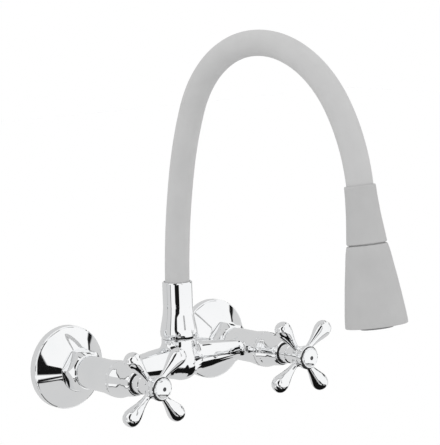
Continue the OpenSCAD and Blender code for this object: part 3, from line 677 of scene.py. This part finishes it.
def make_union_nut(side_name, side):
    nut = hexagonal_bar(f"{side_name}_nut", NUT_TURNS[side_name])
    here = Matrix.Identity(4)
    over_r = NUT_CORNER_R + 0.3
    blank = rounded([(0, NUT_BACK - 0.5), (NUT_CORNER_R - 0.8, NUT_BACK - 0.5),
                     (over_r, NUT_BACK + 0.9, 0.5), (over_r, NUT_FRONT - NUT_CHAMFER, 3),
                     (NUT_FLAT_R - 0.6, NUT_FRONT - 0.6, 1.2), (NUT_FLAT_R - 1.8, NUT_FRONT + 0.5),
                     (0, NUT_FRONT + 0.5)])
    carry(nut, lathe("turned_blank", blank, here), "INTERSECT")
    bore_end = NUT_FRONT - NUT_LIP
    bore = rounded([(0, NUT_BACK - 1), (NUT_BORE_R, NUT_BACK - 1), (NUT_BORE_R, bore_end, 0.2),
                    (NUT_MOUTH_R, bore_end, 0.2), (NUT_MOUTH_R, NUT_FRONT + 1), (0, NUT_FRONT + 1)])
    carry(nut, lathe("nut_bore", bore, here), "DIFFERENCE")
    bevel = nut.modifiers.new("edges", "BEVEL")
    bevel.width = NUT_EDGE * MM
    bevel.segments = 3
    bevel.limit_method = "ANGLE"
    bevel.angle_limit = np.radians(25)
    nut.data = applied(nut)
    nut.modifiers.clear()
    smooth(nut.data)
    nut.data.set_sharp_from_angle(angle=np.radians(32))
    nut.data.transform(on_valve(side))
    finish_piece(nut, "chrome", "root", f"{side_name}_union_nut")


# Body casting

TAIL_R = 13.05
SEAT_R = 14.4
BOSS_R = 14.2
SPIGOT_R = 12.1
SPIGOT_LEN = 8
BRIDGE_END = 66
BRIDGE_LIFT = 0.4
BRIDGE_FILLET = 5.0
VALVE_FILLET = 4.0
BODY_CELL = 0.8


def valve_outline():
    return rounded([(0, TAIL_BACK), (TAIL_R, TAIL_BACK, 0.9), (TAIL_R, TAIL_BACK + 24.5, 16),
                    (14.35, TAIL_BACK + 35, 22), (SEAT_R, BODY_FRONT, 0.4), (0, BODY_FRONT)])


def boss_outline(top):
    foot = curved([(0.0, -13.9), (4.0, -13.7), (8.0, -12.4), (11.4, -9.6), (13.6, -5.2),
                   (BOSS_R, 0.0)])
    upper = rounded([(BOSS_R, 0), (BOSS_R, top, 0.6), (SPIGOT_R, top, 0.3),
                     (SPIGOT_R, top + SPIGOT_LEN, 0.6), (0, top + SPIGOT_LEN)])
    return np.vstack([foot, upper[1:]])


def bridge_outline():
    return rounded([(0, -2), (13.9, -2), (13.8, 0), (11.7, 28, 60), (9.8, 42, 60), (7.6, 58),
                    (7.5, BRIDGE_END), (0, BRIDGE_END)])


def make_body():
    boss_top = SLEEVE_FOOT - 0.1
    shapes = [(Turned(boss_outline(boss_top), on_swivel()), 1)]
    for side in (-1, 1):
        place = placed((0, -SPOUT_OUT, VALVE_Z + BRIDGE_LIFT), (side, 0, 0), (0, 1, 0))
        shapes.append((Turned(bridge_outline(), place), BRIDGE_FILLET))
    for side in (-1, 1):
        shapes.append((Turned(valve_outline(), on_valve(side)), VALVE_FILLET))
    low = (-VALVE_X - 18, -BODY_FRONT - 4, VALVE_Z - 18)
    high = (VALVE_X + 18, -TAIL_BACK + 4, VALVE_Z + boss_top + 12)
    body = cast("bridge_casting", shapes, low, high, BODY_CELL)
    finish_piece(body, "chrome", "root", "mixer_body")


# Bonnets, with a dust seal in the mouth of each

def make_bonnet(side_name, side):
    back, front = BONNET_BACK, BONNET_FRONT
    skirt = (14.25, back + 0.35)
    neck = (10.0, back + 21)
    throat = (8.3, front - 3.3)
    heel = (13.0, back + 0.1)
    outer = curved([skirt, (14.2, back + 2.4), (13.5, back + 4.8), (12.64, back + 7.3),
                    (11.8, back + 11), (11.1, back + 15.4), (10.5, back + 19), neck])
    nose = rounded([neck, (9.85, front - 0.6, 0.5), (9.2, front, 0.3), (8.6, front, 0.25),
                    (8.5, front - 2.6, 0.1), (4.5, front - 2.6, 0.1), (4.5, front - 3.2, 0.2), throat])
    inside = curved([throat, (9.7, back + 14), (11.3, back + 7.4), (12.9, back + 1.6), heel])
    foot = rounded([heel, (13.6, back, 0.2), (14.25, back, 0.25), skirt])
    outline = np.vstack([outer, nose[1:], inside[1:], foot[1:]])
    piece = lathe(f"{side_name}_bell", outline, on_valve(side), closed=True)
    finish_piece(piece, "chrome", "root", f"{side_name}_bonnet")
    seal = flat_ring(f"{side_name}_dust_seal", 4.6, 8.45, front - 2.55, front - 0.35, 0.2, 0.3,
                     on_valve(side))
    finish_piece(seal, "seal_rubber", "root")


# Cross handles

ARM_BACK = 9.0
ARM_REACH = 37.0
ARM_ROOT_R = 3.3
ARM_FILLET = 2.4
HANDLE_CELL = 0.45
REST_ANGLES = {"left": -4.3, "right": -6.6}


def hub_outline():
    back = HUB_BACK
    belly = HUB_FRONT - 5.6
    collar = (6.75, back + 8.2)
    shoulder = (8.6, belly - 1.2)
    return np.vstack([
        rounded([(0, back), (7.45, back, 0.5), (7.5, back + 7.4, 0.35), collar]),
        curved([collar, (6.65, back + 10.6), (7.0, back + 14.5), (7.9, back + 19), shoulder])[1:],
        rounded([shoulder, (8.9, belly, 0.8), (7.6, belly + 0.5, 0.3), (7.6, belly + 1.2),
                 (0, belly + 1.2)])[1:],
    ])


def arm_outline():
    return np.vstack([
        [(0, 0), (ARM_ROOT_R, 0.0)],
        curved([(ARM_ROOT_R, 0.0), (3.0, 5.0), (2.55, 9.0), (2.75, 13.0), (3.6, 17.5), (4.9, 22.0),
                (6.1, 26.0), (6.75, 29.4), (6.5, 32.2), (5.4, 34.7), (3.3, 36.4),
                (0.0, ARM_REACH)])[1:],
    ])


def make_handle(side_name, side):
    place = on_valve(side)
    shapes = [(Turned(hub_outline(), place), 1)]
    arm = arm_outline()
    root = (side * VALVE_X, -(HUB_FRONT - ARM_BACK), VALVE_Z)
    for k in range(4):
        angle = np.radians(45 + 90 * k + REST_ANGLES[side_name])
        direction = Vector((np.cos(angle), 0, np.sin(angle)))
        shapes.append((Turned(arm, placed(root, direction, (0, 1, 0))), ARM_FILLET))
    reach = ARM_REACH + 1.5
    low = (side * VALVE_X - reach, -HUB_FRONT - 1, VALVE_Z - reach)
    high = (side * VALVE_X + reach, -HUB_BACK + 1.5, VALVE_Z + reach)
    core = cast(f"{side_name}_cross_handle", shapes, low, high, HANDLE_CELL)
    front = HUB_FRONT
    section = rounded([(7.0, front - 4.6, 0.2), (8.6, front - 4.4, 0.4), (9.5, front - 3.7, 0.5),
                       (9.5, front - 0.5, 0.4), (9.0, front, 0.3), (7.0, front, 0.2)], closed=True)
    joined(core, lathe("bezel", section, place, closed=True))
    finish_piece(core, "chrome", f"{side_name}_valve", f"{side_name}_handle")


# Index caps: a domed disc with two fine rings and a plain round mark

MARK_R = 1.5


def make_index_cap(side_name, side):
    face = HUB_FRONT + 0.05
    dome = face + 1.5
    body = f"{side_name}_valve"
    place = on_valve(side)
    rim = (7.7, dome + 0.2)
    crest = (6.2, dome + 0.66)
    brink = (2.05, dome + 1.5)
    outline = np.vstack([
        rounded([(0, face - 2.0), (6.85, face - 2.0, 0.2), (6.9, face, 0.1), (8.2, face, 0.2),
                 (8.35, face + 0.3, 0.2), (8.35, face + 1.2, 0.35), (8.0, dome + 0.15, 0.2), rim]),
        rounded([rim, (7.45, dome - 0.1, 0.12), (7.15, dome - 0.1, 0.12), (6.9, dome + 0.42, 0.12),
                 crest])[1:],
        curved([crest, (4.6, dome + 1.1), (3.0, dome + 1.4), brink])[1:],
        rounded([brink, (1.6, dome + 1.52, 0.1), (1.55, dome + 1.1, 0.1), (0, dome + 1.1)])[1:],
    ])
    cap = lathe(f"{side_name}_cap", outline, place)
    finish_piece(cap, "index_cap", body, f"{side_name}_index_cap")
    # A near-black ring round the cap's foot, on the hub's front: painted shade for the shadow gap
    # between cap and hub, not a real seal. It uses the seal_rubber material.
    ring = flat_ring(f"{side_name}_cap_painted_shade_ring", 8.4, 9.0, face, face + 0.5, 0.1, 0.25, place)
    finish_piece(ring, "seal_rubber", body)
    disc = rounded([(0, dome + 1.05), (MARK_R, dome + 1.05), (MARK_R, dome + 1.35, 0.12),
                    (0, dome + 1.5)])
    finish_piece(lathe(f"{side_name}_index_mark", disc, place, segments=64), "mark", body)


# Spout sleeve

def make_sleeve():
    foot, top = SLEEVE_FOOT, SLEEVE_TOP
    edge = (12.3, foot + 0.4)
    flare = (14.75, foot + 2.4)
    waist = (11.95, foot + 25.2)
    seat = (10.3, top - 12)
    outline = np.vstack([
        rounded([edge, (12.6, foot, 0.3), (13.6, foot, 0.4), (14.3, foot + 1.0, 0.8), flare]),
        curved([flare, (14.95, foot + 4.4), (14.7, foot + 7.2), (13.9, foot + 11.6),
                (13.0, foot + 16.4), (12.35, foot + 20.6), waist])[1:],
        rounded([waist, (11.95, top - 0.9, 0.8), (11.4, top, 0.35), (10.3, top, 0.25), seat])[1:],
        rounded([seat, (10.3, foot + 15, 0.2), (8.1, foot + 15), (8.1, foot + 12),
                 (11.2, foot + 12), (11.2, foot + 8.3), (12.3, foot + 8.3), edge])[1:-1],
    ])
    piece = lathe("spout_socket", outline, on_swivel(), closed=True)
    finish_piece(piece, "chrome", "root", "spout_sleeve")


# Hose, liner and water hose

def make_hoses():
    start_up = span("hose_rise", 2)[0]
    end = np.array([HEAD_OUT, HEAD_UP]) + HOSE_GRIP * np.array([-HEAD_AXIS[1], HEAD_AXIS[2]])
    stations = [(SPOUT_OUT, start_up, 90.0), *ROUTE, (*end, HEAD_HEADING)]
    made = (
        ("silicone_tube", HOSE_R, HOSE_BORE_R, "silicone_hose",
         ("hose_rise", "hose_crown", "hose_drop")),
        ("steel_liner", LINER_R, LINER_BORE_R, "steel", ("gooseneck_liner",)),
        ("inner_hose", WATER_R, WATER_BORE_R, "water_hose", ("water_hose",)),
    )
    for name, outer_r, bore_r, slot, replaced in made:
        tube = swept_tube(name, stations, outer_r, bore_r)
        tube.data.materials.append(MATERIALS[slot])
        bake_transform(tube)
        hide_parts(*replaced)


# Spray head, as stations from the hose's end

COLLAR_LEN = 41.7
SHELL_TOP = 42.4
SHELL_END = 100.6
AERATOR_END = 102.5
CORE_HOLE_R = 9.05
WASHER_GAP = 0.06


def make_collar():
    hem = (9.8, 0.3)
    lower = (11.4, 1.6)
    upper = (14.42, 39.4)
    outline = np.vstack([
        rounded([hem, (10.1, 0, 0.3), (11.1, 0, 0.4), (11.38, 0.9, 0.4), lower]),
        curved([lower, (11.57, 7.1), (11.9, 12.8), (12.28, 18.5), (12.78, 24.2), (13.39, 29.9),
                (14.05, 35.6), upper])[1:],
        rounded([upper, (14.55, COLLAR_LEN - 0.5, 0.7), (13.8, COLLAR_LEN, 0.4),
                 (CORE_HOLE_R, COLLAR_LEN, 0.2), (CORE_HOLE_R, 14.1, 0.1), (9.8, 14.0), hem])[1:-1],
    ])
    piece = lathe("upper_collar", outline, on_head(), closed=True)
    finish_piece(piece, "soft_head", "spout_tip", "head_collar")


def make_shell():
    upper = (14.95, SHELL_TOP + 1.2)
    lower = (22.42, 97.2)
    outline = np.vstack([
        rounded([(CORE_HOLE_R, SHELL_TOP, 0.2), (13.9, SHELL_TOP, 0.3),
                 (14.75, SHELL_TOP + 0.3, 0.6), upper]),
        curved([upper, (15.79, 46.9), (16.71, 52.6), (17.51, 58.3), (18.40, 64.0), (19.22, 69.7),
                (19.95, 75.4), (20.65, 81.1), (21.35, 86.8), (22.0, 92.5), lower])[1:],
        rounded([lower, (22.5, SHELL_END - 0.35, 0.3), (22.15, SHELL_END, 0.25),
                 (12.7, SHELL_END, 0.4), (12.15, SHELL_END - 0.7, 0.3), (12.15, 80.0), (13.6, 80.0),
                 (13.6, 97.0), (20.0, 97.0), (12.6, 51.0), (CORE_HOLE_R, 51.0)])[1:],
    ])
    piece = lathe("turning_cone", outline, on_head(), closed=True)
    finish_piece(piece, "soft_head", "spray", "head_shell")


def make_washer():
    """The washer in the seam between the collar and the turning shell."""
    washer = flat_ring("seam_washer", 9.15, 12.9, COLLAR_LEN + WASHER_GAP, SHELL_TOP - WASHER_GAP,
                       0.05, 0.05, on_head())
    finish_piece(washer, "soft_head", "spout_tip")


def make_aerator():
    end = AERATOR_END
    section = rounded([(9.6, end - 0.3, 0.2), (10.7, end - 0.3, 0.2), (10.9, end, 0.15),
                       (11.8, end, 0.3), (12.1, end - 0.6, 0.3), (12.1, end - 12, 0.3),
                       (8.2, end - 12, 0.2), (8.2, end - 10, 0.2), (10.6, end - 10, 0.2),
                       (10.6, end - 1.2, 0.1), (9.6, end - 1.2, 0.1)], closed=True)
    ring = lathe("aerator_ring", section, on_head(), closed=True)
    finish_piece(ring, "aerator", "spray", "aerator_housing")


# CAD nodes that stay, with their slot's material

def dress_cad_nodes():
    slots = {part["node"]: part["material_slot"] for part in frame["record"]["subparts"]}
    for name, obj in nodes.items():
        obj.data.materials.clear()
        obj.data.materials.append(MATERIALS[slots[name]])


# Studio

FLOOR_Z = -0.42
FLOOR_SIZE = 12
PAPER_TONE = 0.8
FLAG_DROP = 75
FLAG_PARTS = ((-165, 165, 97, 168), (25, 130, 55, 97))
FLAG_TONE = 0.008


def make_floor():
    """A pale floor that the camera sees as white, apart from the shadow on it."""
    bpy.ops.mesh.primitive_plane_add(size=FLOOR_SIZE, location=(0, 0, FLOOR_Z))
    floor = bpy.context.object
    floor.name = "studio_floor"
    made, tree, shader = matt("studio_paper", PAPER_TONE)
    path = tree.nodes.new("ShaderNodeLightPath")
    mix = tree.nodes.new("ShaderNodeMix")
    mix.data_type = "RGBA"
    mix.inputs["A"].default_value = (*grey(PAPER_TONE), 1)
    mix.inputs["B"].default_value = (*grey(1), 1)
    tree.links.new(path.outputs["Is Camera Ray"], mix.inputs["Factor"])
    tree.links.new(mix.outputs["Result"], shader.inputs["Base Color"])
    floor.data.materials.append(made)
    floor.visible_glossy = False


# What reflections see of the studio, in degrees of azimuth from the room's middle line, positive
# towards +X, and of elevation. A patch has its azimuths, elevations, softness and tone. A line has
# (azimuth, elevation) points, and each side of the slit (elevation, azimuth) points.

PALE_TONE, WHITE_TONE, DARK_TONE = 0.66, 1.0, 0.008
TENT_AZIMUTHS = (-125, 128)
TENT_HEIGHTS = (-31, 74)
TENT_HEM_OUT, TENT_HEM_IN = 2, -1.5
LEFT_PATCHES = (
    ((-126, -93), (-16, 22), 2, PALE_TONE),
    ((-95, -91), (-16, 22), 2, DARK_TONE),
)
RIGHT_SIDE = (78, 134)
RIGHT_TOP = [(82, 20), (95, 20), (108, 13), (130, 5)]
RIGHT_PATCHES = (
    ((70, 104), (-30, -3), 2, WHITE_TONE),
    ((101, 106), (-30, -3), 2, DARK_TONE),
    ((111, 132), (24, 78), 2, PALE_TONE),
    ((92, 112), (43, 60), 3, DARK_TONE),
)
SLIT_HEIGHTS = (-15, 62)
SLIT_RIGHT = [(-8, -27), (0, -30), (4, -38), (8, -49), (30, -51), (45, -48), (60, -38)]
SLIT_LEFT = [(-15, -60), (0, -60), (12, -68), (30, -76), (45, -80), (60, -72)]
SEAM_AZIMUTHS = (-110, 62)
SEAM = [(-110, -50), (-75, -42), (-60, -28), (-35, -22), (-10, -26), (10, -42), (30, -54), (60, -58)]
SEAM_REACH = [(-70, 5), (-60, 3), (-30, 3), (0, 10), (30, 10), (60, 6)]


def make_world():
    """Plain white light, seen in reflections as a white tent with dark seams, and pale grey beyond."""
    world = bpy.data.worlds.new("studio")
    bpy.context.scene.world = world
    world.use_nodes = True
    tree = world.node_tree
    back = tree.nodes["Background"]

    def feed(socket, value):
        """Sets a number on a socket, or links an output to it."""
        if isinstance(value, (int, float)):
            socket.default_value = value
        else:
            tree.links.new(value, socket)

    def math(operation, *inputs):
        node = tree.nodes.new("ShaderNodeMath")
        node.operation = operation
        for socket, value in zip(node.inputs, inputs):
            feed(socket, value)
        return node.outputs[0]

    def ramp(value, start, end):
        """0 before start and 1 after end, with a soft step between."""
        node = tree.nodes.new("ShaderNodeMapRange")
        node.interpolation_type = "SMOOTHSTEP"
        node.inputs["From Min"].default_value = start
        node.inputs["From Max"].default_value = end
        tree.links.new(value, node.inputs["Value"])
        return node.outputs["Result"]

    def between(value, low, high, soft):
        rise = ramp(value, low - soft / 2, low + soft / 2)
        fall = ramp(value, high - soft / 2, high + soft / 2)
        return math("MULTIPLY", rise, math("SUBTRACT", 1.0, fall))

    def follow(value, points):
        """A line through (place, height) points, as a height for each place."""
        total = points[0][1]
        for (a, low), (b, high) in zip(points, points[1:]):
            node = tree.nodes.new("ShaderNodeMapRange")
            node.inputs["From Min"].default_value = a
            node.inputs["From Max"].default_value = b
            node.inputs["To Min"].default_value = 0.0
            node.inputs["To Max"].default_value = high - low
            tree.links.new(value, node.inputs["Value"])
            total = math("ADD", node.outputs["Result"], total)
        return total

    def over(tone, cover, upper):
        """Lays a tone over another, as far as the cover reaches."""
        node = tree.nodes.new("ShaderNodeMix")
        node.data_type = "FLOAT"
        tree.links.new(cover, node.inputs["Factor"])
        feed(node.inputs["A"], tone)
        feed(node.inputs["B"], upper)
        return node.outputs["Result"]

    place = tree.nodes.new("ShaderNodeTexCoord")
    parts = tree.nodes.new("ShaderNodeSeparateXYZ")
    tree.links.new(place.outputs["Generated"], parts.inputs[0])
    to_degrees = 180 / np.pi
    away = math("MULTIPLY", parts.outputs["Y"], -1.0)
    azimuth = math("MULTIPLY", math("ARCTAN2", parts.outputs["X"], away), to_degrees)
    height = math("MULTIPLY", math("ARCSINE", parts.outputs["Z"]), to_degrees)

    def patch(azimuths, heights, soft):
        return math("MULTIPLY", between(azimuth, *azimuths, soft), between(height, *heights, soft))

    def tent(hem):
        return patch((TENT_AZIMUTHS[0] - hem, TENT_AZIMUTHS[1] + hem),
                     (TENT_HEIGHTS[0] - hem, TENT_HEIGHTS[1] + hem), 2)

    tone = over(over(PALE_TONE, tent(TENT_HEM_OUT), DARK_TONE), tent(TENT_HEM_IN), WHITE_TONE)
    for azimuths, heights, soft, upper in LEFT_PATCHES:
        tone = over(tone, patch(azimuths, heights, soft), upper)
    right_side = between(azimuth, *RIGHT_SIDE, 8)
    above_right = math("SUBTRACT", height, follow(azimuth, RIGHT_TOP))
    tone = over(tone, math("MULTIPLY", right_side, between(above_right, -60, 0, 2)), PALE_TONE)
    tone = over(tone, math("MULTIPLY", right_side, between(above_right, -4, 1, 2)), DARK_TONE)
    for azimuths, heights, soft, upper in RIGHT_PATCHES:
        tone = over(tone, patch(azimuths, heights, soft), upper)
    right_of_left = ramp(math("SUBTRACT", azimuth, follow(height, SLIT_LEFT)), -1, 1)
    left_of_right = ramp(math("SUBTRACT", follow(height, SLIT_RIGHT), azimuth), -1, 1)
    slit = math("MULTIPLY", math("MULTIPLY", right_of_left, left_of_right),
                between(height, *SLIT_HEIGHTS, 4))
    tone = over(tone, slit, DARK_TONE)
    from_seam = math("ABSOLUTE", math("SUBTRACT", height, follow(azimuth, SEAM)))
    in_seam = ramp(math("SUBTRACT", follow(azimuth, SEAM_REACH), from_seam), -1.5, 1.5)
    tone = over(tone, math("MULTIPLY", between(azimuth, *SEAM_AZIMUTHS, 8), in_seam), DARK_TONE)

    path = tree.nodes.new("ShaderNodeLightPath")
    seen = over(WHITE_TONE, path.outputs["Is Glossy Ray"], tone)
    tree.links.new(seen, back.inputs["Color"])
    back.inputs["Strength"].default_value = 1.0


def make_flag():
    """A black studio card under the handles and the body, seen in reflections only."""
    height = (VALVE_Z - FLAG_DROP) * MM
    vertices = []
    for left, right, out_near, out_far in FLAG_PARTS:
        vertices += [(left * MM, -out_near * MM, height), (left * MM, -out_far * MM, height),
                     (right * MM, -out_far * MM, height), (right * MM, -out_near * MM, height)]
    flag = new_object("studio_flag", vertices, [(0, 1, 2, 3), (4, 5, 6, 7)])
    flag.data.materials.append(matt("flag_cloth", FLAG_TONE)[0])
    flag.visible_camera = False
    flag.visible_diffuse = False
    flag.visible_transmission = False
    flag.visible_shadow = False


def make_camera():
    """The camera solved from the photograph, with its target and distances in millimetres."""
    yaw, pitch, roll = 0.699, 0.139, -0.033
    focal_pixels = 2047.5
    target = Vector((0, -60, 60 + VALVE_Z))
    right_shift, up_shift, distance = -29.44, -51.37, 1622.3
    forward = Vector((np.sin(yaw) * np.cos(pitch), np.cos(yaw) * np.cos(pitch), -np.sin(pitch)))
    right = forward.cross(Vector((0, 0, 1))).normalized()
    up = right.cross(forward)
    rolled_right = right * np.cos(roll) + up * np.sin(roll)
    rolled_up = up * np.cos(roll) - right * np.sin(roll)
    place = target - forward * distance - rolled_right * right_shift - rolled_up * up_shift
    lens = bpy.data.cameras.new("photo_camera")
    lens.sensor_fit = "HORIZONTAL"
    lens.sensor_width = 36
    lens.lens = focal_pixels / PHOTO_WIDTH * lens.sensor_width
    lens.clip_end = 30
    camera = bpy.data.objects.new("photo_camera", lens)
    turn = Matrix((rolled_right, rolled_up, -forward)).transposed().to_4x4()
    camera.matrix_world = Matrix.Translation(place * MM) @ turn
    bpy.context.scene.collection.objects.link(camera)
    bpy.context.scene.camera = camera


for side_name, side in (("left", -1), ("right", 1)):
    make_escutcheon(side_name, side)
    make_union_nut(side_name, side)
    make_bonnet(side_name, side)
    make_handle(side_name, side)
    make_index_cap(side_name, side)
make_body()
make_sleeve()
make_hoses()
make_collar()
make_shell()
make_washer()
make_aerator()
dress_cad_nodes()
make_floor()
make_world()
make_flag()
make_camera()

bpy.context.scene.view_settings.view_transform = "Standard"
bpy.context.view_layer.update()
